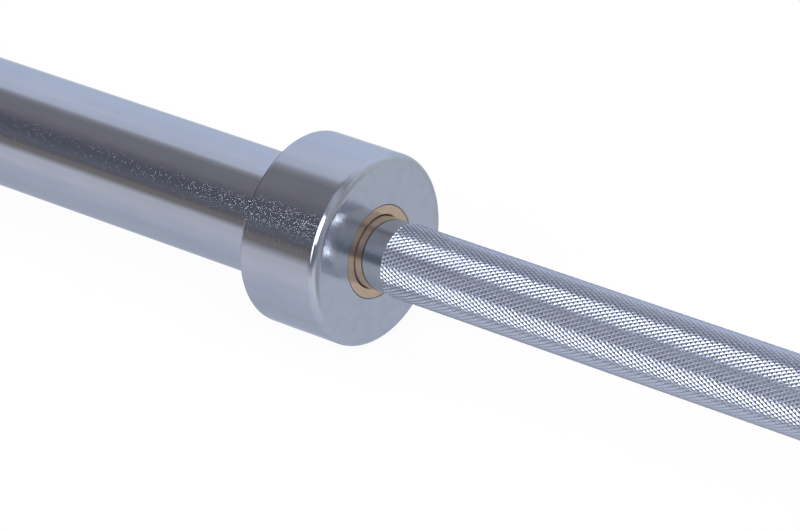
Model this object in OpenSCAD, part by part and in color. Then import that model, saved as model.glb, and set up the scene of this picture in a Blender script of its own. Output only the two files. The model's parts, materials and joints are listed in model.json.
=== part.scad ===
// Straight Olympic barbell with two free-turning plate sleeves, each on a pair of bronze bushings.
// The bar lies along X, with the middle of its axis at the origin. Millimetres.
// Profiles are lists of [radius, distance along the bar] for the +X end, mirrored for the other end.

/* [Bar] */
// Overall length, from the end of one sleeve to the end of the other
bar_length = 2200; // [1900:5:2300]
// Distance between the inner faces of the two collars
grip_length = 1310; // [1200:5:1400]
// Diameter of the smooth shaft, which turns in the inner bushings
shaft_d = 29.2; // [27:0.1:30]
// Small bevel on the shaft's turned edges
shaft_bevel = 0.5; // [0.2:0.1:0.8]

/* [Knurling] */
// Height of the knurled lands above the smooth shaft, on the radius
knurl_height = 0.3; // [0.1:0.05:0.5]
// Smooth length between a collar's inner face and the knurling
knurl_gap = 12.5; // [5:0.5:20]
// Length from a collar's inner face to the far end of the hand's knurling
hand_knurl_span = 445; // [300:5:500]
// Distance between the centres of the two smooth marking rings
mark_spacing = 810; // [780:5:960]
// Width of a smooth marking ring
mark_width = 5; // [3:0.5:8]
// Length of the knurling at the middle of the bar
centre_knurl = 120; // [60:5:180]

/* [Sleeve] */
// Outer diameter of the sleeve, which takes the plates
sleeve_d = 50; // [48:0.1:51]
// Diameter of the relieved bore between the two bushings
relief_d = 36.8; // [35:0.1:37.2]
// Length of the chamfer that leads a plate onto the sleeve
sleeve_lead = 2.5; // [1:0.5:4]
// Width of the grinding relief round the sleeve, next to the collar
root_groove_w = 1; // [0.5:0.1:2]
// Depth of the grinding relief
root_groove_depth = 0.3; // [0.1:0.1:0.6]

/* [Collar] */
// Outer diameter of the collar
collar_d = 78; // [70:0.5:90]
// Width of the collar along the bar
collar_w = 38.5; // [30:0.5:45]
// Rounding of the rim on the grip side
collar_grip_r = 3.8; // [2:0.1:6]
// Rounding of the rim on the plate side
collar_plate_r = 1.8; // [0.8:0.1:4]
// Thickness of the collar's web, which covers the end of the sleeve round the bushing
collar_web = 6; // [4:0.5:8]
// Bevel at the mouth of the collar's bore
collar_mouth = 0.5; // [0.2:0.1:0.8]

/* [Bushings] */
// Outer diameter of both bushings
bushing_d = 37.5; // [37.3:0.1:39]
// Length of the inner bushing, whose end shows in the collar's face
inner_bushing_l = 40; // [30:1:60]
// Length of the outer bushing, near the end of the sleeve
outer_bushing_l = 30; // [20:1:45]
// Depth of the inner bushing's end below the collar's face
bushing_sink = 0.3; // [0:0.1:1]
// Bevel at the mouths of a bushing's bore
bushing_bevel = 0.4; // [0.2:0.1:1]
// Running clearance of the shaft in a bushing, on the radius
running_gap = 0.2; // [0.05:0.01:0.3]
// Gap left round a piece that is pressed in, on the radius
press_gap = 0.02; // [0.01:0.01:0.05]

/* [Thrust stack] */
// Diameter of the turned-down end of the shaft
spindle_d = 25; // [22:0.1:26]
// Outer diameter of the thrust washers
washer_d = 34; // [31:0.5:34.5]
// Thickness of a thrust washer
washer_t = 2; // [1:0.5:4]
// Clearance in a washer's hole, on the radius
washer_gap = 0.15; // [0.05:0.05:0.3]
// End play of the sleeve on each side of the outer bushing
end_play = 0.2; // [0.1:0.05:0.5]

/* [Retaining ring] */
// Thickness of the spring ring on the shaft
ring_t = 1.5; // [1:0.1:2]
// Depth of the ring's groove in the shaft
ring_groove = 0.8; // [0.5:0.1:1.2]
// Width of the ring's band at its widest, opposite the opening
ring_band = 3.2; // [2.6:0.1:3.6]
// Clearance of a spring ring in its groove
groove_gap = 0.1; // [0.05:0.05:0.2]
// Length of shaft beyond the ring's groove
shaft_tip = 3.5; // [2:0.5:6]
// Diameter of the lathe centre in the shaft's end
lathe_centre_d = 8; // [4:0.5:12]
// Depth of the lathe centre
lathe_centre_depth = 5; // [3:0.5:8]

/* [Both spring rings] */
// Angle that a spring ring leaves open
ring_open = 36; // [20:2:60]
// How far a ring's band narrows from its widest place to its lugs
ring_taper = 1; // [0.4:0.1:1.4]
// Diameter of the lugs at a ring's ends
lug_d = 4.6; // [4:0.2:5.4]
// Step between a ring's gripping edge and the edge of its lugs
lug_step = 0.3; // [0.2:0.1:0.6]
// Diameter of the plier hole in a lug
lug_hole_d = 2; // [1.2:0.2:2.4]

/* [End cap] */
// Diameter of the sleeve's mouth, which takes the end cap
mouth_d = 40; // [39.5:0.1:41]
// Thickness of the end cap
cap_t = 5; // [4:0.5:8]
// Diameter of the shallow dish in the cap's face
dish_d = 24; // [18:1:28]
// Depth of the dish in the cap's face
dish_depth = 0.8; // [0.4:0.1:1.5]
// Diameter of the seal's cord
seal_d = 2; // [1.6:0.1:2.4]
// Gap between the end cap and the shaft's end
cap_room = 3; // [1:0.5:6]
// Thickness of the spring ring that holds the end cap
cap_ring_t = 1.5; // [1:0.1:2]
// Depth of that ring's groove in the sleeve
cap_ring_groove = 1.2; // [0.8:0.1:1.5]
// Width of that ring's band at its widest
cap_ring_band = 3.4; // [2.8:0.1:4]
// Distance from the sleeve's end to that ring's groove
cap_inset = 2; // [1.5:0.1:4]

/* [Hidden] */
$fn = 96;

chrome = [0.80, 0.82, 0.85];
bronze = [0.74, 0.60, 0.44];
spring_steel = [0.45, 0.46, 0.48];
washer_steel = [0.62, 0.63, 0.65];
seal_rubber = [0.08, 0.08, 0.08];

// Radii
shaft_r = shaft_d / 2;
knurl_r = shaft_r + knurl_height;
sleeve_r = sleeve_d / 2;
collar_r = collar_d / 2;
bushing_r = bushing_d / 2;
bushing_seat_r = bushing_r + press_gap;
spindle_r = spindle_d / 2;
groove_r = spindle_r - ring_groove;
mouth_r = mouth_d / 2;
cap_r = mouth_r - press_gap;
cap_groove_r = mouth_r + cap_ring_groove;

// Places along the bar, from its middle outwards: the collar
face_x = grip_length / 2;
web_x = face_x + collar_web;
plate_stop_x = face_x + collar_w;
inner_bushing_x = face_x + bushing_sink;
inner_seat_x = inner_bushing_x + inner_bushing_l;

// Places along the bar, from the end of the sleeve inwards: the cap, then the shaft's end in the sleeve
end_x = bar_length / 2;
cap_groove_x = end_x - cap_inset;
cap_face_x = cap_groove_x - cap_ring_t - groove_gap;
cap_seat_x = cap_face_x - cap_t;
tip_x = cap_seat_x - cap_room;
ring_stop_x = tip_x - shaft_tip;
ring_x = ring_stop_x - ring_t;
outer_washer_x = ring_x - washer_t;
outer_seat_x = outer_washer_x - end_play - outer_bushing_l;
shoulder_x = outer_seat_x - end_play - washer_t;

// The knurled lands of the +X half, as [from, to]
mark_x = mark_spacing / 2;
hand_land = [face_x - hand_knurl_span, mark_x - mark_width / 2];
outer_land = [mark_x + mark_width / 2, face_x - knurl_gap];

// Points of a raised land, which ramps up from the smooth shaft at each end
function land(span) = [
  [shaft_r, span[0]],
  [knurl_r, span[0] + knurl_height],
  [knurl_r, span[1] - knurl_height],
  [shaft_r, span[1]]
];

// The same points on the -X half, in reverse order
function other_half(points) = [
  for (i = [len(points) - 1 : -1 : 0]) [points[i][0], -points[i][1]]
];

// The shaft's outline on the +X half, from the middle of the bar to the lathe centre
shaft_half = concat(
  [[knurl_r, centre_knurl / 2 - knurl_height], [shaft_r, centre_knurl / 2]],
  land(hand_land),
  land(outer_land),
  [
    [shaft_r, shoulder_x - shaft_bevel],
    [shaft_r - shaft_bevel, shoulder_x],
    [spindle_r, shoulder_x],
    [spindle_r, ring_x - groove_gap],
    [groove_r, ring_x - groove_gap],
    [groove_r, ring_stop_x],
    [spindle_r, ring_stop_x],
    [spindle_r, tip_x - shaft_bevel],
    [spindle_r - shaft_bevel, tip_x],
    [lathe_centre_d / 2, tip_x],
    [0, tip_x - lathe_centre_depth]
  ]
);

// Turns a [radius, distance] profile round the bar's axis
module turned() {
  rotate([0, 90, 0]) rotate_extrude() children();
}

// Leaves its children at the +X end, or mirrors them to the other
module at_end(side) {
  mirror([side == "left" ? 1 : 0, 0, 0]) children();
}

// A round bar along X, which may lie off the axis by raise
module rod(r, from_x, length, raise = 0) {
  translate([from_x, 0, raise]) rotate([0, 90, 0]) cylinder(r = r, h = length);
}

// A bushing with bevelled bore mouths
module bushing(bore_r, from_x, length) {
  to_x = from_x + length;
  color(bronze) turned() polygon([
    [bore_r, from_x + bushing_bevel],
    [bore_r + bushing_bevel, from_x],
    [bushing_r, from_x],
    [bushing_r, to_x],
    [bore_r + bushing_bevel, to_x],
    [bore_r, to_x - bushing_bevel]
  ]);
}

// Rods through both lugs of a spring ring, whose centres stand lug_r from the axis
module at_lugs(r, lug_r, from_x, length) {
  turn = ring_open / 2 + asin(lug_d / 2 / lug_r) / 2;
  for (side = [-1, 1])
    rotate([side * turn, 0, 0]) rod(r, from_x, length, lug_r);
}

// The wedge that a spring ring leaves open at the top
module ring_opening(reach, from_x, length) {
  half_w = reach * tan(ring_open / 2);
  translate([from_x, 0, 0]) rotate([90, 0, 90]) linear_extrude(length)
    polygon([[0, 0], [half_w, reach], [-half_w, reach]]);
}

// A spring ring: a band between an inner and an outer circle, one of them lower than the other,
// and a pierced lug at each side of the opening
module spring_ring(inner_r, inner_raise, outer_r, outer_raise, lug_r, from_x, thickness) {
  cut_x = from_x - thickness;
  cut_l = 3 * thickness;
  color(spring_steel) difference() {
    union() {
      difference() {
        rod(outer_r, from_x, thickness, outer_raise);
        rod(inner_r, cut_x, cut_l, inner_raise);
        ring_opening(2 * outer_r, cut_x, cut_l);
      }
      at_lugs(lug_d / 2, lug_r, from_x, thickness);
    }
    at_lugs(lug_hole_d / 2, lug_r, cut_x, cut_l);
  }
}

// One bar from end to end: knurled lands, a turned-down spindle at each end, and its ring grooves
module shaft() {
  color(chrome) turned() polygon(concat(shaft_half, other_half(shaft_half)));
}

// The plate sleeve: a tube with a seat for each bushing and a stepped, grooved mouth
module sleeve(side) {
  root_r = sleeve_r - root_groove_depth;
  root_x = plate_stop_x + root_groove_w;
  color(chrome) at_end(side) turned() polygon([
    [bushing_seat_r, web_x],
    [sleeve_r, web_x],
    [sleeve_r, plate_stop_x],
    [root_r, plate_stop_x],
    [root_r, root_x],
    [sleeve_r, root_x],
    [sleeve_r, end_x - sleeve_lead],
    [sleeve_r - sleeve_lead / 2, end_x],
    [mouth_r, end_x],
    [mouth_r, cap_groove_x],
    [cap_groove_r, cap_groove_x],
    [cap_groove_r, cap_face_x],
    [mouth_r, cap_face_x],
    [mouth_r, cap_seat_x],
    [bushing_seat_r, cap_seat_x],
    [bushing_seat_r, outer_seat_x],
    [relief_d / 2, outer_seat_x],
    [relief_d / 2, inner_seat_x],
    [bushing_seat_r, inner_seat_x]
  ]);
}

// The collar's section: a web in front of the sleeve's end, a skirt pressed over it, and two round rims
module collar_section() {
  bore_depth = collar_mouth + bushing_seat_r;
  difference() {
    union() {
      translate([bushing_seat_r, face_x])
        square([collar_r - collar_grip_r - bushing_seat_r, collar_w]);
      translate([bushing_seat_r, face_x + collar_grip_r])
        square([collar_r - bushing_seat_r, collar_w - collar_grip_r - collar_plate_r]);
      translate([bushing_seat_r, plate_stop_x - collar_plate_r])
        square([collar_r - collar_plate_r - bushing_seat_r, collar_plate_r]);
      translate([collar_r - collar_grip_r, face_x + collar_grip_r]) circle(collar_grip_r);
      translate([collar_r - collar_plate_r, plate_stop_x - collar_plate_r]) circle(collar_plate_r);
    }
    translate([0, web_x]) square([sleeve_r + press_gap, collar_w]);
    polygon([[0, face_x], [bore_depth, face_x], [0, face_x + bore_depth]]);
  }
}

module collar(side) {
  color(chrome) at_end(side) turned() collar_section();
}

module inner_bushing(side) {
  at_end(side) bushing(shaft_r + running_gap, inner_bushing_x, inner_bushing_l);
}

module outer_bushing(side) {
  at_end(side) bushing(spindle_r + running_gap, outer_seat_x, outer_bushing_l);
}

// Hard washer that takes the sleeve's end thrust
module thrust_washer(side, from_x) {
  hole_r = spindle_r + washer_gap;
  color(washer_steel) at_end(side) turned()
    translate([hole_r, from_x]) square([washer_d / 2 - hole_r, washer_t]);
}

// Spring ring that grips a groove in the shaft
module retaining_ring(side) {
  grip_r = groove_r + groove_gap;
  at_end(side) spring_ring(
    inner_r = grip_r, inner_raise = 0,
    outer_r = grip_r + ring_band - ring_taper / 2, outer_raise = -ring_taper / 2,
    lug_r = grip_r + lug_step + lug_d / 2,
    from_x = ring_x, thickness = ring_t
  );
}

// Disc with a seal groove round its edge and a shallow dish in its face
module end_cap(side) {
  seal_groove_r = cap_r - seal_d - press_gap;
  seal_room = seal_d / 2 + groove_gap;
  seal_x = cap_seat_x + cap_t / 2;
  color(chrome) at_end(side) turned() polygon([
    [0, cap_seat_x],
    [cap_r, cap_seat_x],
    [cap_r, seal_x - seal_room],
    [seal_groove_r, seal_x - seal_room],
    [seal_groove_r, seal_x + seal_room],
    [cap_r, seal_x + seal_room],
    [cap_r, cap_face_x],
    [dish_d / 2 + dish_depth, cap_face_x],
    [dish_d / 2, cap_face_x - dish_depth],
    [0, cap_face_x - dish_depth]
  ]);
}

// Rubber ring round the cap, which keeps dirt out
module end_cap_seal(side) {
  color(seal_rubber) at_end(side) turned()
    translate([cap_r - seal_d / 2, cap_seat_x + cap_t / 2]) circle(d = seal_d);
}

// Spring ring that snaps into the sleeve's mouth in front of the cap
module end_cap_ring(side) {
  grip_r = cap_groove_r - groove_gap;
  at_end(side) spring_ring(
    inner_r = grip_r - cap_ring_band + ring_taper / 2, inner_raise = ring_taper / 2,
    outer_r = grip_r, outer_raise = 0,
    lug_r = grip_r - lug_step - lug_d / 2,
    from_x = cap_face_x, thickness = cap_ring_t
  );
}

shaft();
sleeve("left");  // sleeve_left
sleeve("right");  // sleeve_right
collar("left");  // collar_left
collar("right");  // collar_right
inner_bushing("left");  // inner_bushing_left
inner_bushing("right");  // inner_bushing_right
outer_bushing("left");  // outer_bushing_left
outer_bushing("right");  // outer_bushing_right
thrust_washer("left", shoulder_x);  // inner_thrust_washer_left
thrust_washer("right", shoulder_x);  // inner_thrust_washer_right
thrust_washer("left", outer_washer_x);  // outer_thrust_washer_left
thrust_washer("right", outer_washer_x);  // outer_thrust_washer_right
retaining_ring("left");  // retaining_ring_left
retaining_ring("right");  // retaining_ring_right
end_cap("left");  // end_cap_left
end_cap("right");  // end_cap_right
end_cap_seal("left");  // end_cap_seal_left
end_cap_seal("right");  // end_cap_seal_right
end_cap_ring("left");  // end_cap_ring_left
end_cap_ring("right");  // end_cap_ring_right
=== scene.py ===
"""Looks of a straight Olympic barbell: knurled chrome shaft, plate sleeves, bronze bushings.

The bar lies along X with the middle of its axis at the origin. Blender works in metres, and the
sizes below are in millimetres, as in the part's source.
"""

import json
import math

import bmesh
import bpy
import numpy as np
from mathutils import Matrix, Vector


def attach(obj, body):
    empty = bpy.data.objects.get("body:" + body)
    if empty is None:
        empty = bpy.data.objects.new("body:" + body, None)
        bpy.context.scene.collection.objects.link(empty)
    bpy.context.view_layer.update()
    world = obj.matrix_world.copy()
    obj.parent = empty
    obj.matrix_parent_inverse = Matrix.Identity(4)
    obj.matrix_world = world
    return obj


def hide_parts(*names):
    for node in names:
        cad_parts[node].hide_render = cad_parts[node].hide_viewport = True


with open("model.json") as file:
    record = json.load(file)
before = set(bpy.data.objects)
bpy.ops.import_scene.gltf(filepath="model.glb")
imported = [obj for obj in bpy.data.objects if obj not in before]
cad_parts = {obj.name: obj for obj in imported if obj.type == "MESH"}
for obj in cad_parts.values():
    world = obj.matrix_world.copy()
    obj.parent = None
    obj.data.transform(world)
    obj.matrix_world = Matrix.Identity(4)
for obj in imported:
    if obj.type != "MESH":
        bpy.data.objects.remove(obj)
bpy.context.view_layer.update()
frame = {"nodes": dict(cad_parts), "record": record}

MM = 0.001

# Sizes that the source of the part states, in millimetres; COLLAR_MOUTH_R is the bushing's seat
# with the bevel of its mouth
FACE_X = 655
PLATE_STOP_X = 693.5
COLLAR_R = 39
SHAFT_R = 14.6
KNURL_R = 14.9
SHAFT_BEVEL = 0.5
COLLAR_MOUTH_R = 19.27
SHOULDER_X = 1042.0
SPINDLE_R = 12.5
RING_GROOVE_R = 11.7
RING_GROOVE_X = (1083.3, 1084.9)
TIP_X = 1088.4
LATHE_CENTRE_R = 4
LATHE_CENTRE_DEPTH = 5
CENTRE_LAND = (-60, 60)
HAND_LAND = (210, 402.5)
OUTER_LAND = (407.5, 642.5)
SIDES = {"left": -1, "right": 1}

# Knurling: rows of diamonds with steep sides, gentler crests and small flat tops
KNURL_STARTS = 51
KNURL_ROW = 1.59
KNURL_DEPTH = 0.33
KNURL_CREST = 0.42
KNURL_CREST_DROP = 0.07
KNURL_TOP = 0.12
KNURL_END_BEVEL = 0.3
KNURL_JITTER = 0.009
KNURL_SINK = 0.01
CORE_R = 14.4

# Meshes: sides of the core, angle from which its edges are sharp, and tolerances in metres
ROUND_SIDES = 256
SHARP_DEGREES = 25
CUT_DIST = 1e-8
ON_CUT = 1e-7

# Margins of the knurling's UV map, round the bar and along it
MARGIN_U = 0.02
MARGIN_V = 0.01


class Graph:
    """Short calls that add nodes to a material's or the world's tree and link them."""

    def __init__(self, tree):
        self.tree = tree
        tree.nodes.clear()

    def add(self, kind, inputs=None, **settings):
        node = self.tree.nodes.new(kind)
        for name, value in settings.items():
            setattr(node, name, value)
        for name, value in (inputs or {}).items():
            self.set(node.inputs[name], value)
        return node

    def set(self, socket, value):
        if isinstance(value, bpy.types.NodeSocket):
            self.tree.links.new(value, socket)
        elif isinstance(value, tuple) and len(value) == 3 and socket.type == "RGBA":
            socket.default_value = (*value, 1)
        else:
            socket.default_value = value

    def math(self, operation, a, b=0.0):
        node = self.add("ShaderNodeMath", {0: a, 1: b}, operation=operation)
        return node.outputs[0]

    def smooth(self, value, start, end, low=0.0, high=1.0):
        """Goes smoothly from low to high as value goes from start to end."""
        node = self.add(
            "ShaderNodeMapRange",
            {"Value": value, "From Min": start, "From Max": end, "To Min": low, "To Max": high},
            interpolation_type="SMOOTHSTEP",
        )
        return node.outputs["Result"]

    def smooth_mm(self, value, start, end, low=0.0, high=1.0):
        """The same between two distances in millimetres."""
        return self.smooth(value, start * MM, end * MM, low, high)

    def smooth_degrees(self, value, start, end):
        """The same between two angles in degrees, from 0 to 1."""
        return self.smooth(value, math.radians(start), math.radians(end))

    def blend(self, factor, a, b):
        node = self.add("ShaderNodeMix", {"Factor": factor}, data_type="FLOAT")
        self.set(node.inputs[2], a)
        self.set(node.inputs[3], b)
        return node.outputs[0]

    def mix(self, factor, a, b):
        node = self.add("ShaderNodeMix", data_type="RGBA")
        self.set(node.inputs["Factor"], factor)
        self.set(node.inputs[6], a)
        self.set(node.inputs[7], b)
        return node.outputs[2]

    def ramp(self, factor, stops):
        node = self.add("ShaderNodeValToRGB", {"Fac": factor})
        elements = node.color_ramp.elements
        while len(elements) < len(stops):
            elements.new(0.5)
        for element, (place, colour) in zip(elements, sorted(stops)):
            element.position = place
            element.color = (*colour, 1)
        return node.outputs["Color"]

    def noise(self, vector, scale, detail=2.0):
        node = self.add(
            "ShaderNodeTexNoise",
            {"Vector": vector, "Scale": scale, "Detail": detail, "Roughness": 0.5},
        )
        return node.outputs["Fac"]

    def varied(self, base, cloud, spread):
        """A base value, plus that much of a noise."""
        return self.math("ADD", base, self.math("MULTIPLY", cloud, spread))

    def bump(self, height, distance_mm, normal=None):
        node = self.add(
            "ShaderNodeBump", {"Height": height, "Distance": distance_mm * MM, "Strength": 1.0}
        )
        if normal is not None:
            self.set(node.inputs["Normal"], normal)
        return node.outputs["Normal"]


def new_material(name):
    """A material with its graph, its shader and the coordinates of the object."""
    material = bpy.data.materials.new(name)
    material.use_nodes = True
    graph = Graph(material.node_tree)
    shader = graph.add("ShaderNodeBsdfPrincipled")
    output = graph.add("ShaderNodeOutputMaterial")
    graph.set(output.inputs["Surface"], shader.outputs["BSDF"])
    place = graph.add("ShaderNodeTexCoord").outputs["Object"]
    return material, graph, shader, place


def new_metal(name):
    """The same for bare metal."""
    material, graph, shader, place = new_material(name)
    shader.inputs["Metallic"].default_value = 1
    return material, graph, shader, place


def dress(graph, shader, colour, rough, normal):
    """Gives a shader its colour, roughness and normals."""
    graph.set(shader.inputs["Base Color"], colour)
    graph.set(shader.inputs["Roughness"], rough)
    graph.set(shader.inputs["Normal"], normal)


def stretched(graph, place, across, along):
    """Object coordinates with one scale across the bar and one along it, to stretch a texture."""
    node = graph.add("ShaderNodeMapping", {"Vector": place, "Scale": (along, across, across)})
    return node.outputs["Vector"]


def radius_of(graph, place):
    """Distance from the bar's axis, in metres."""
    split = graph.add("ShaderNodeSeparateXYZ", {"Vector": place})
    y2 = graph.math("MULTIPLY", split.outputs["Y"], split.outputs["Y"])
    z2 = graph.math("MULTIPLY", split.outputs["Z"], split.outputs["Z"])
    return graph.math("SQRT", graph.math("ADD", y2, z2))


def along_of(graph, place):
    """Distance from the middle of the bar along it, in metres."""
    split = graph.add("ShaderNodeSeparateXYZ", {"Vector": place})
    return graph.math("ABSOLUTE", split.outputs["X"])


# Finishes: colours, and sizes and places in millimetres. Where two are given, a value goes from the
# first to the second.
SLEEVE_CHROMES = ((0.55, 0.565, 0.59), (0.52, 0.535, 0.565))
SHAFT_CHROMES = ((0.55, 0.565, 0.59), (0.53, 0.545, 0.57))
# Painted shade: a dark brown-black laid on the collar's bore mouth, where the gap by the bushing
# lies in shade
MOUTH_SHADE = (0.13, 0.10, 0.08)
MOUTH_SHADE_SHARE = 0.68
MOUTH_SHADE_R = (COLLAR_MOUTH_R + 0.05, COLLAR_MOUTH_R - 0.2)
MOUTH_SHADE_X = (FACE_X + 0.9, FACE_X + 0.7)
COLLAR_SIDE_X = (FACE_X + 0.1, FACE_X + 2.6)
FLECK_SPACING = 0.23
FLECK_R = 0.05
FLECK_LEAN = (-0.2, 0.6)
FLECK_FADE_X = (PLATE_STOP_X + 60, PLATE_STOP_X)
FLECK_SHARES = (0.11, 0.5)
KNURL_CHROMES = ((0.69, 0.715, 0.78), (0.66, 0.685, 0.75))
# The knurling's colour goes darker towards the floors of its valleys
KNURL_VALLEY_TONE = (0.45, 0.46, 0.50)
KNURL_VALLEY_SHARE = 0.25
KNURL_VALLEY_R = (KNURL_R - KNURL_DEPTH, KNURL_R - 0.1)
KNURL_WORN = (0.55, 0.55, 0.565)
KNURL_WORN_R = (KNURL_R - 0.10, KNURL_R - 0.04)
KNURL_EDGE_TINT = (0.1, 0.1, 0.1, 1)
BRONZES = ((0.70, 0.51, 0.35), (0.63, 0.45, 0.31))
GROUND_STEELS = ((0.50, 0.51, 0.53), (0.42, 0.43, 0.45))
BLACK_STEELS = ((0.10, 0.10, 0.11), (0.05, 0.05, 0.055))
RUBBERS = ((0.018, 0.018, 0.018), (0.035, 0.035, 0.035))


def flecks(graph, place, share):
    """Normals of scattered small flecks that lean along the bar, in that share of the places."""
    cells = graph.add(
        "ShaderNodeTexVoronoi",
        {"Vector": place, "Scale": 1 / (FLECK_SPACING * MM), "Randomness": 1.0},
    )
    chance = graph.add("ShaderNodeSeparateColor", {"Color": cells.outputs["Color"]})
    chosen = graph.math("LESS_THAN", chance.outputs["Red"], share)
    inside = graph.math("LESS_THAN", cells.outputs["Distance"], FLECK_R / FLECK_SPACING)
    lean = graph.smooth(chance.outputs["Green"], 0.0, 1.0, *FLECK_LEAN)
    lean = graph.math("MULTIPLY", graph.math("MULTIPLY", lean, chosen), inside)
    sideways = graph.add("ShaderNodeCombineXYZ", {"X": lean}).outputs[0]
    normal = graph.add("ShaderNodeNewGeometry").outputs["Normal"]
    leaned = graph.add("ShaderNodeVectorMath", {0: normal, 1: sideways}, operation="ADD")
    unit = graph.add("ShaderNodeVectorMath", {0: leaned.outputs[0]}, operation="NORMALIZE")
    return unit.outputs[0]


def sleeve_chrome():
    """Polished chrome with flecks; the collar's faces are softer, with painted shade at the bore's
    mouth.
    """
    material, graph, shader, place = new_metal("sleeve_chrome")
    radius, along = radius_of(graph, place), along_of(graph, place)
    cloud = graph.noise(place, scale=60, detail=3)
    smear = graph.noise(stretched(graph, place, across=220, along=14), scale=1, detail=2)
    tone = graph.math("ADD", graph.math("MULTIPLY", cloud, 0.4), graph.math("MULTIPLY", smear, 0.6))
    chrome = graph.mix(graph.smooth(tone, 0.38, 0.62), *SLEEVE_CHROMES)
    # Painted shade darkens the chrome at the bore's mouth next to the face
    near_bore = graph.smooth_mm(radius, *MOUTH_SHADE_R)
    near_face = graph.smooth_mm(along, *MOUTH_SHADE_X, 0.0, MOUTH_SHADE_SHARE)
    colour = graph.mix(graph.math("MULTIPLY", near_bore, near_face), chrome, MOUTH_SHADE)
    on_side = graph.smooth_mm(along, *COLLAR_SIDE_X)
    side_rough = graph.varied(0.018, cloud, 0.014)
    face_rough = graph.varied(0.14, cloud, 0.06)
    share = graph.smooth_mm(along, *FLECK_FADE_X, *FLECK_SHARES)
    flecked = flecks(graph, place, graph.math("MULTIPLY", share, on_side))
    marks = graph.noise(stretched(graph, place, across=40, along=1500), scale=1, detail=2)
    normal = graph.bump(marks, distance_mm=0.0002, normal=flecked)
    dress(graph, shader, colour, graph.blend(on_side, face_rough, side_rough), normal)
    return material


def shaft_chrome():
    """Polished chrome of the smooth parts of the shaft, with faint turning marks."""
    material, graph, shader, place = new_metal("shaft_chrome")
    cloud = graph.noise(place, scale=90, detail=3)
    rings = graph.noise(stretched(graph, place, across=8, along=4000), scale=1, detail=2)
    colour = graph.mix(graph.smooth(cloud, 0.35, 0.65), *SHAFT_CHROMES)
    rough = graph.varied(0.02, cloud, 0.02)
    dress(graph, shader, colour, rough, graph.bump(rings, distance_mm=0.0003))
    return material


def knurl_chrome():
    """Chrome on the knurling, darker and duller in its valleys and worn on its crests."""
    material, graph, shader, place = new_metal("knurl_chrome")
    radius = radius_of(graph, place)
    cloud = graph.noise(place, scale=400, detail=3)
    low = graph.smooth_mm(radius, *KNURL_VALLEY_R, 1.0, 0.0)
    tone = graph.mix(graph.smooth(cloud, 0.35, 0.65), *KNURL_CHROMES)
    # Darker towards the floors of the valleys
    tone = graph.mix(graph.math("MULTIPLY", low, KNURL_VALLEY_SHARE), tone, KNURL_VALLEY_TONE)
    colour = graph.mix(graph.smooth_mm(radius, *KNURL_WORN_R), tone, KNURL_WORN)
    shader.inputs["Specular Tint"].default_value = KNURL_EDGE_TINT
    rough = graph.varied(graph.varied(0.10, cloud, 0.06), low, 0.08)
    grain = graph.noise(place, scale=2500, detail=2)
    dress(graph, shader, colour, rough, graph.bump(grain, distance_mm=0.02))
    return material


def bearing_bronze():
    """Machined bearing bronze, lightly tarnished, with turning marks on its end."""
    material, graph, shader, place = new_metal("bearing_bronze")
    cloud = graph.noise(place, scale=250, detail=4)
    rings = graph.add("ShaderNodeCombineXYZ", {"X": radius_of(graph, place)}).outputs[0]
    tool_marks = graph.noise(rings, scale=6000, detail=2)
    colour = graph.mix(graph.smooth(cloud, 0.3, 0.7), *BRONZES)
    rough = graph.varied(0.10, cloud, 0.12)
    dress(graph, shader, colour, rough, graph.bump(tool_marks, distance_mm=0.004))
    return material


def ground_steel():
    """Hardened steel of the thrust washers, with the marks of grinding."""
    material, graph, shader, place = new_metal("ground_steel")
    cloud = graph.noise(place, scale=300, detail=3)
    marks = graph.noise(stretched(graph, place, across=3000, along=300), scale=1)
    rough = graph.varied(0.28, cloud, 0.12)
    dress(graph, shader, graph.mix(cloud, *GROUND_STEELS), rough, graph.bump(marks, 0.004))
    return material


def spring_steel():
    """Blackened steel of the spring rings."""
    material, graph, shader, place = new_metal("spring_steel")
    cloud = graph.noise(place, scale=500, detail=4)
    rough = graph.varied(0.35, cloud, 0.2)
    dress(graph, shader, graph.mix(cloud, *BLACK_STEELS), rough, graph.bump(cloud, 0.02))
    return material


def seal_rubber():
    """Moulded rubber of the end caps' seals."""
    material, graph, shader, place = new_material("seal_rubber")
    cloud = graph.noise(place, scale=900, detail=3)
    rough = graph.varied(0.55, cloud, 0.2)
    dress(graph, shader, graph.mix(cloud, *RUBBERS), rough, graph.bump(cloud, 0.02))
    return material


FINISHES = {
    "sleeve_chrome": sleeve_chrome(),
    "shaft_chrome": shaft_chrome(),
    "bronze": bearing_bronze(),
    "washer_steel": ground_steel(),
    "spring_steel": spring_steel(),
    "seal_rubber": seal_rubber(),
}
for subpart in frame["record"]["subparts"]:
    node = frame["nodes"][subpart["node"]]
    node.data.materials.clear()
    node.data.materials.append(FINISHES[subpart["material_slot"]])


def add_piece(name, mesh, material, body):
    """Links a mesh as a piece of the object that rides on a body."""
    mesh.materials.append(material)
    piece = bpy.data.objects.new(name, mesh)
    bpy.context.scene.collection.objects.link(piece)
    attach(piece, body)
    return piece


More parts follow.
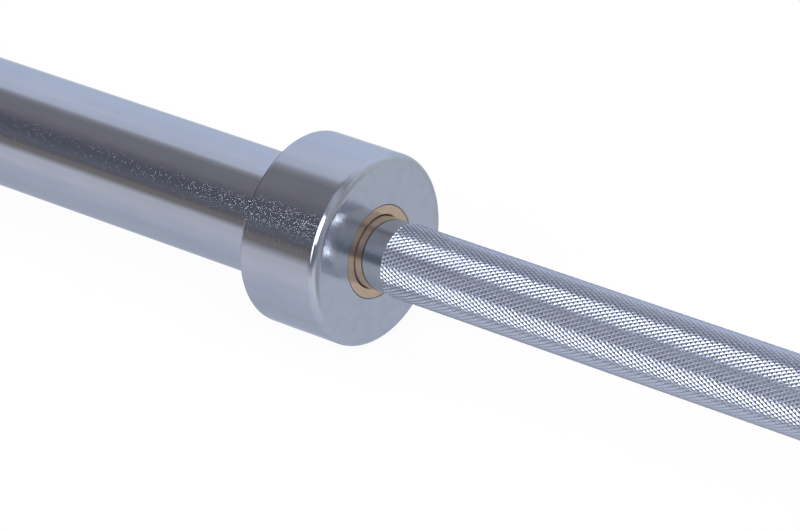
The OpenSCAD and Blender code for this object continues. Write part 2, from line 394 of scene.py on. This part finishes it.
def turned_mesh(name, profile):
    """A closed solid of revolution round X, from (radius, x) points in millimetres.

    The profile's two ends lie on the axis.
    """
    sides = ROUND_SIDES
    angles = np.arange(sides) * 2 * math.pi / sides
    rings = [(r, x) for r, x in profile if r > 0]
    points = np.array(
        [(x, r * math.sin(a), r * math.cos(a)) for r, x in rings for a in angles]
        + [(x, 0, 0) for r, x in profile if r == 0]
    ) * MM
    faces = []
    for i in range(len(rings) - 1):
        for j in range(sides):
            k = (j + 1) % sides
            a, b = i * sides, (i + 1) * sides
            faces.append((a + j, a + k, b + k, b + j))
    first, last = len(rings) * sides, len(rings) * sides + 1
    end = (len(rings) - 1) * sides
    faces += [(first, (j + 1) % sides, j) for j in range(sides)]
    faces += [(last, end + j, end + (j + 1) % sides) for j in range(sides)]
    mesh = bpy.data.meshes.new(name)
    mesh.from_pydata(points.tolist(), [], faces)
    tidy_normals(mesh)
    mesh.shade_smooth()
    mesh.set_sharp_from_angle(angle=math.radians(SHARP_DEGREES))
    return mesh


def tidy_normals(mesh):
    """Turns all faces outwards."""
    shape = bmesh.new()
    shape.from_mesh(mesh)
    bmesh.ops.recalc_face_normals(shape, faces=shape.faces)
    shape.to_mesh(mesh)
    shape.free()


def core_profile():
    """The shaft's outline from end to end, sunk under each knurled land."""
    half = [(CORE_R, CENTRE_LAND[1]), (SHAFT_R, CENTRE_LAND[1])]
    for start, end in (HAND_LAND, OUTER_LAND):
        half += [(SHAFT_R, start), (CORE_R, start), (CORE_R, end), (SHAFT_R, end)]
    half += [
        (SHAFT_R, SHOULDER_X - SHAFT_BEVEL), (SHAFT_R - SHAFT_BEVEL, SHOULDER_X),
        (SPINDLE_R, SHOULDER_X), (SPINDLE_R, RING_GROOVE_X[0]),
        (RING_GROOVE_R, RING_GROOVE_X[0]), (RING_GROOVE_R, RING_GROOVE_X[1]),
        (SPINDLE_R, RING_GROOVE_X[1]), (SPINDLE_R, TIP_X - SHAFT_BEVEL),
        (SPINDLE_R - SHAFT_BEVEL, TIP_X), (LATHE_CENTRE_R, TIP_X), (0, TIP_X - LATHE_CENTRE_DEPTH),
    ]
    return [(r, -x) for r, x in reversed(half)] + half


def knurl_mesh(name, start, end, seed):
    """A knurled length: rows of diamonds, cut square at both ends with a small bevel."""
    random = np.random.default_rng(seed)
    rows = round((end - start) / KNURL_ROW)
    row = (end - start) / rows
    around = 2 * KNURL_STARTS
    angle = 2 * math.pi / around
    valley_r = KNURL_R - KNURL_DEPTH
    j, k = np.meshgrid(np.arange(-1, rows + 2), np.arange(around), indexing="ij")
    centres = (j + k) % 2 == 0
    grid = np.stack([
        start + j * row + random.normal(0, KNURL_JITTER, j.shape),
        (k + random.normal(0, KNURL_JITTER, j.shape)) * angle,
        valley_r + random.normal(0, KNURL_JITTER, j.shape),
    ], axis=-1)
    inner_j, middle_k = np.nonzero(centres[1:-1])
    middle_j = inner_j + 1
    middle = grid[middle_j, middle_k]
    corner_j = middle_j[:, None] + np.array([0, 1, 0, -1])
    corner_k = (middle_k[:, None] + np.array([1, 0, -1, 0])) % around
    corners = grid[corner_j, corner_k]
    turn = corners[..., 1] - middle[:, None, 1]
    turn = (turn + math.pi) % (2 * math.pi) - math.pi

    def ring(share, r):
        """Four points of each diamond, that share of the way from its middle to its corners."""
        return np.stack([
            middle[:, None, 0] + share * (corners[..., 0] - middle[:, None, 0]),
            middle[:, None, 1] + share * turn,
            r,
        ], axis=-1)

    rough = random.normal(0, KNURL_JITTER, turn.shape)
    crest = ring(KNURL_CREST, KNURL_R - KNURL_CREST_DROP + rough / 2)
    top = ring(KNURL_TOP, KNURL_R - np.abs(rough))
    points = np.concatenate([grid.reshape(-1, 3), crest.reshape(-1, 3), top.reshape(-1, 3)])
    x, a, r = points.T
    points = np.stack([x, r * np.sin(a), r * np.cos(a)], axis=1) * MM
    outer = corner_j * around + corner_k
    crest_id = grid.shape[0] * around + np.arange(4 * len(middle)).reshape(-1, 4)
    top_id = crest_id + 4 * len(middle)
    quads = [top_id]
    for low, high in ((outer, crest_id), (crest_id, top_id)):
        for q in range(4):
            p = (q + 1) % 4
            quads.append(np.stack([low[:, q], low[:, p], high[:, p], high[:, q]], axis=1))
    quads = np.concatenate(quads)
    mesh = bpy.data.meshes.new(name)
    mesh.vertices.add(len(points))
    mesh.vertices.foreach_set("co", points.ravel())
    mesh.loops.add(quads.size)
    mesh.loops.foreach_set("vertex_index", quads.ravel())
    mesh.polygons.add(len(quads))
    mesh.polygons.foreach_set("loop_start", np.arange(len(quads)) * 4)
    mesh.update(calc_edges=True)
    cut_ends(mesh, start, end)
    mesh.shade_flat()
    wrap_map(mesh, start, end)
    return mesh


def cut_ends(mesh, start, end):
    """Cuts a knurled length square, bevels its edge down to the smooth shaft, and fills its ends.

    The fill leaves one end open: the one of hand_knurl_left nearer the middle of the bar, where it
    is hidden against the core.
    """
    shape = bmesh.new()
    shape.from_mesh(mesh)
    for x, way in ((start, -1), (end, 1)):
        inner = x - way * KNURL_END_BEVEL
        for place, clear in ((inner, False), (x, True)):
            bmesh.ops.bisect_plane(
                shape, geom=shape.verts[:] + shape.edges[:] + shape.faces[:], dist=CUT_DIST,
                plane_co=(place * MM, 0, 0), plane_no=(way, 0, 0), clear_outer=clear,
            )
        rim = [v for v in shape.verts if abs(v.co.x - x * MM) < ON_CUT]
        for v in rim:
            r = math.hypot(v.co.y, v.co.z)
            shrink = min(1, (SHAFT_R - KNURL_SINK) * MM / r)
            v.co.y *= shrink
            v.co.z *= shrink
    loose = [v for v in shape.verts if not v.link_faces]
    bmesh.ops.delete(shape, geom=loose, context="VERTS")
    open_edges = [e for e in shape.edges if len(e.link_faces) == 1]
    bmesh.ops.holes_fill(shape, edges=open_edges, sides=0)
    bmesh.ops.recalc_face_normals(shape, faces=shape.faces)
    shape.to_mesh(mesh)
    shape.free()


def wrap_map(mesh, start, end):
    """Unrolls the surface round the bar into a UV map."""
    layer = mesh.uv_layers.new(name="OFBake")
    co = np.empty(len(mesh.vertices) * 3)
    mesh.vertices.foreach_get("co", co)
    co = co.reshape(-1, 3)
    turn = np.arctan2(co[:, 1], co[:, 2])
    vertex = np.empty(len(mesh.loops), int)
    mesh.loops.foreach_get("vertex_index", vertex)
    totals = np.empty(len(mesh.polygons), int)
    starts = np.empty(len(mesh.polygons), int)
    mesh.polygons.foreach_get("loop_total", totals)
    mesh.polygons.foreach_get("loop_start", starts)
    first = np.repeat(turn[vertex[starts]], totals)
    u = first + (turn[vertex] - first + math.pi) % (2 * math.pi) - math.pi
    uv = np.stack([
        MARGIN_U + (1 - 2 * MARGIN_U) * (u + math.pi) / (2 * math.pi),
        MARGIN_V + (1 - 2 * MARGIN_V) * (co[vertex, 0] / MM - start) / (end - start),
    ], axis=1)
    layer.data.foreach_set("uv", uv.ravel())


KNURLED = knurl_chrome()
core_mesh = turned_mesh("shaft_core", core_profile())
core = add_piece("shaft_core", core_mesh, FINISHES["shaft_chrome"], "shaft")
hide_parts("shaft")
lands = {"centre_knurl": CENTRE_LAND}
for side, way in SIDES.items():
    for name, land in (("hand_knurl", HAND_LAND), ("outer_knurl", OUTER_LAND)):
        lands[f"{name}_{side}"] = tuple(sorted((way * land[0], way * land[1])))
for seed, (name, (start, end)) in enumerate(lands.items()):
    piece = add_piece(name, knurl_mesh(name, start, end, seed), KNURLED, "shaft")
    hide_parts("shaft")


# Floor: its height and half its width, in metres, and how much it glows for the camera
FLOOR_Z = -COLLAR_R * MM
FLOOR_HALF = 12
FLOOR_GLOW = 1.07
FLOOR_GLOW_SHARE = 0.85

# Tones that the chrome mirrors, by angle of turn in degrees: 0 is level in front of the bar and 90
# overhead. The sleeve's and collar's sides mirror SKY, the knurling's flanks MIDDLE_SKY and the
# collar's face SIDE_SKY. They were set by comparing tones with the photograph.
SKY = [
    (-180, (0.56, 0.62, 0.78)), (-121, (0.45, 0.49, 0.60)), (-65, (0.57, 0.61, 0.75)),
    (-33, (0.67, 0.70, 0.83)), (-15, (0.65, 0.67, 0.77)), (-5, (0.26, 0.25, 0.26)),
    (2, (0.24, 0.22, 0.22)), (7, (0.16, 0.16, 0.19)), (13, (0.17, 0.18, 0.22)),
    (30, (0.13, 0.14, 0.18)), (41, (0.14, 0.14, 0.18)), (60, (0.25, 0.24, 0.28)),
    (83, (0.26, 0.26, 0.30)), (90, (0.36, 0.37, 0.43)), (97, (0.64, 0.69, 0.84)),
    (117, (0.69, 0.77, 0.96)), (160, (0.62, 0.71, 0.92)), (180, (0.56, 0.62, 0.78)),
]
MIDDLE_SKY = [
    (-180, (0.57, 0.61, 0.69)), (-161, (0.52, 0.55, 0.63)), (-105, (0.56, 0.63, 0.78)),
    (-75, (0.60, 0.66, 0.80)), (-42, (0.69, 0.74, 0.88)), (-22, (0.75, 0.80, 0.94)),
    (-5, (0.24, 0.24, 0.29)), (12, (0.18, 0.19, 0.24)), (30, (0.20, 0.22, 0.28)),
    (55, (0.42, 0.44, 0.54)), (72, (0.52, 0.55, 0.67)), (87, (0.35, 0.37, 0.44)),
    (104, (0.65, 0.70, 0.85)), (121, (0.72, 0.80, 1.0)), (150, (0.66, 0.78, 0.97)),
    (180, (0.57, 0.61, 0.69)),
]
SIDE_SKY = [
    (-180, (0.58, 0.62, 0.71)), (-110, (0.60, 0.65, 0.78)), (-57, (0.70, 0.75, 0.86)),
    (-50, (0.78, 0.83, 0.93)), (-17, (0.79, 0.83, 0.93)), (-9, (0.39, 0.43, 0.49)),
    (-1, (0.23, 0.26, 0.33)), (20, (0.30, 0.33, 0.42)), (35, (0.39, 0.43, 0.58)),
    (47, (0.51, 0.53, 0.60)), (79, (0.51, 0.53, 0.60)), (95, (0.31, 0.32, 0.37)),
    (110, (0.62, 0.65, 0.70)), (150, (0.62, 0.66, 0.73)), (180, (0.58, 0.62, 0.71)),
]

# Plain tones past the ends of the bar, the two bright patches, what the camera sees, and the light
# that matt surfaces get
END_SKY = (0.42, 0.43, 0.50)
FAR_END_SKY = (0.11, 0.11, 0.13)
FAR_LOW_SKY = (0.52, 0.54, 0.62)
WINDOW = (2.9, 3.15, 3.65)
LAMP = (8.6, 9.0, 9.7)
WHITE = (1, 1, 1)
FILL = (0.6, 0.6, 0.6)

# Where one tone goes over to the next: places across, which is along the bar, from -1 to 1, and
# angles of turn in degrees
FAR_END_EDGE = (-0.92, -0.78)
MIDDLE_EDGE = (-0.45, -0.10)
SIDE_EDGE = (0.30, 0.55)
END_EDGE = (0.72, 0.92)
FAR_LOW_TURN = (-24, -6)
WINDOW_EDGES = {"across": ((-0.23, -0.16), (0.07, 0.01)), "turn": ((-8, 13), (53, 40))}
LAMP_EDGES = {"across": ((0.0, 0.07), (0.48, 0.38)), "turn": ((14, 26), (50, 38))}


def patch(graph, across, turn, edges):
    """Share of a soft-edged patch of the sky, between two places across and two angles of turn."""
    left, right = edges["across"]
    inside = graph.math("MULTIPLY", graph.smooth(across, *left), graph.smooth(across, *right))
    for edge in edges["turn"]:
        inside = graph.math("MULTIPLY", inside, graph.smooth_degrees(turn, *edge))
    return inside


def make_world():
    """A white ground for the camera, and for metal a pale tent, dark in front, with two lights."""
    world = bpy.data.worlds.new("studio")
    bpy.context.scene.world = world
    world.use_nodes = True
    world.cycles.sampling_method = "NONE"
    graph = Graph(world.node_tree)
    direction = graph.add("ShaderNodeTexCoord").outputs["Generated"]
    way = graph.add("ShaderNodeSeparateXYZ", {"Vector": direction})
    across = way.outputs["X"]
    front = graph.math("MULTIPLY", way.outputs["Y"], -1.0)
    turn = graph.math("ARCTAN2", way.outputs["Z"], front)
    place = graph.math("ADD", graph.math("DIVIDE", turn, 2 * math.pi), 0.5)
    left, middle, right = (
        graph.ramp(place, [((angle + 180) / 360, colour) for angle, colour in sky])
        for sky in (SKY, MIDDLE_SKY, SIDE_SKY)
    )
    far_end = graph.mix(graph.smooth_degrees(turn, *FAR_LOW_TURN), FAR_LOW_SKY, FAR_END_SKY)
    tent = graph.mix(graph.smooth(across, *FAR_END_EDGE), far_end, left)
    tent = graph.mix(graph.smooth(across, *MIDDLE_EDGE), tent, middle)
    tent = graph.mix(graph.smooth(across, *SIDE_EDGE), tent, right)
    tent = graph.mix(graph.smooth(across, *END_EDGE), tent, END_SKY)
    seen = graph.mix(patch(graph, across, turn, WINDOW_EDGES), tent, WINDOW)
    seen = graph.mix(patch(graph, across, turn, LAMP_EDGES), seen, LAMP)
    path = graph.add("ShaderNodeLightPath")
    glossy, through = path.outputs["Is Glossy Ray"], path.outputs["Is Transmission Ray"]
    colour = graph.mix(graph.math("MAXIMUM", glossy, through), FILL, seen)
    colour = graph.mix(path.outputs["Is Camera Ray"], colour, WHITE)
    ground = graph.add("ShaderNodeBackground", {"Color": colour, "Strength": 1.0})
    output = graph.add("ShaderNodeOutputWorld")
    graph.set(output.inputs["Surface"], ground.outputs["Background"])


def make_floor():
    """A white floor that keeps a faint shadow of the bar."""
    corners = [
        (x * FLOOR_HALF, y * FLOOR_HALF, FLOOR_Z) for x, y in ((-1, -1), (1, -1), (1, 1), (-1, 1))
    ]
    mesh = bpy.data.meshes.new("floor")
    mesh.from_pydata(corners, [], [(0, 1, 2, 3)])
    material = bpy.data.materials.new("floor_white")
    material.use_nodes = True
    graph = Graph(material.node_tree)
    glow = graph.add("ShaderNodeEmission", {"Color": WHITE, "Strength": FLOOR_GLOW})
    matt = graph.add("ShaderNodeBsdfDiffuse", {"Color": (0.9, 0.9, 0.9)})
    path = graph.add("ShaderNodeLightPath")
    share = graph.math("MULTIPLY", path.outputs["Is Camera Ray"], FLOOR_GLOW_SHARE)
    both = graph.add("ShaderNodeMixShader", {0: share, 1: matt.outputs[0], 2: glow.outputs[0]})
    output = graph.add("ShaderNodeOutputMaterial")
    graph.set(output.inputs["Surface"], both.outputs[0])
    mesh.materials.append(material)
    floor = bpy.data.objects.new("floor", mesh)
    bpy.context.scene.collection.objects.link(floor)
    floor.visible_glossy = False


def make_window():
    """One large soft lamp in front of the bar."""
    light = bpy.data.lights.new("window", "AREA")
    light.shape = "RECTANGLE"
    light.size = 2.3
    light.size_y = 1.9
    radiance, distance = 2.6, 3
    light.energy = radiance * math.pi * light.size * light.size_y
    light.color = (1.0, 1.0, 1.0)
    window = bpy.data.objects.new("window", light)
    bpy.context.scene.collection.objects.link(window)
    target = Vector((-FACE_X * MM, 0, 0))
    toward = Vector((0.2, -0.87, 0.45)).normalized()
    window.location = target + distance * toward
    window.rotation_mode = "QUATERNION"
    window.rotation_quaternion = toward.to_track_quat("Z", "Y")
    window.visible_camera = False
    window.visible_glossy = False


def make_camera():
    """The photograph's view: a long lens on the left collar's inner face."""
    azimuth, elevation = math.radians(39.374), math.radians(24.97)
    lens_px, distance = 4448.18, 1.7239
    photo_w, photo_h = 800, 531
    target_px = (379.406, 251.811)
    level = math.cos(elevation)
    back = Vector((math.sin(azimuth) * level, -math.cos(azimuth) * level, math.sin(elevation)))
    right = Vector((0, 0, 1)).cross(back).normalized()
    up = back.cross(right)
    across = (target_px[0] - photo_w / 2) / lens_px * distance
    rise = (photo_h / 2 - target_px[1]) / lens_px * distance
    data = bpy.data.cameras.new("camera")
    data.sensor_width = 36
    data.lens = data.sensor_width * lens_px / photo_w
    camera = bpy.data.objects.new("camera", data)
    bpy.context.scene.collection.objects.link(camera)
    rotation = Matrix((right, up, back)).transposed()
    place = Vector((-FACE_X * MM, 0, 0)) - right * across - up * rise + back * distance
    camera.matrix_world = Matrix.Translation(place) @ rotation.to_4x4()
    bpy.context.scene.camera = camera


make_world()
make_floor()
make_window()
make_camera()
bpy.context.scene.view_settings.view_transform = "Standard"
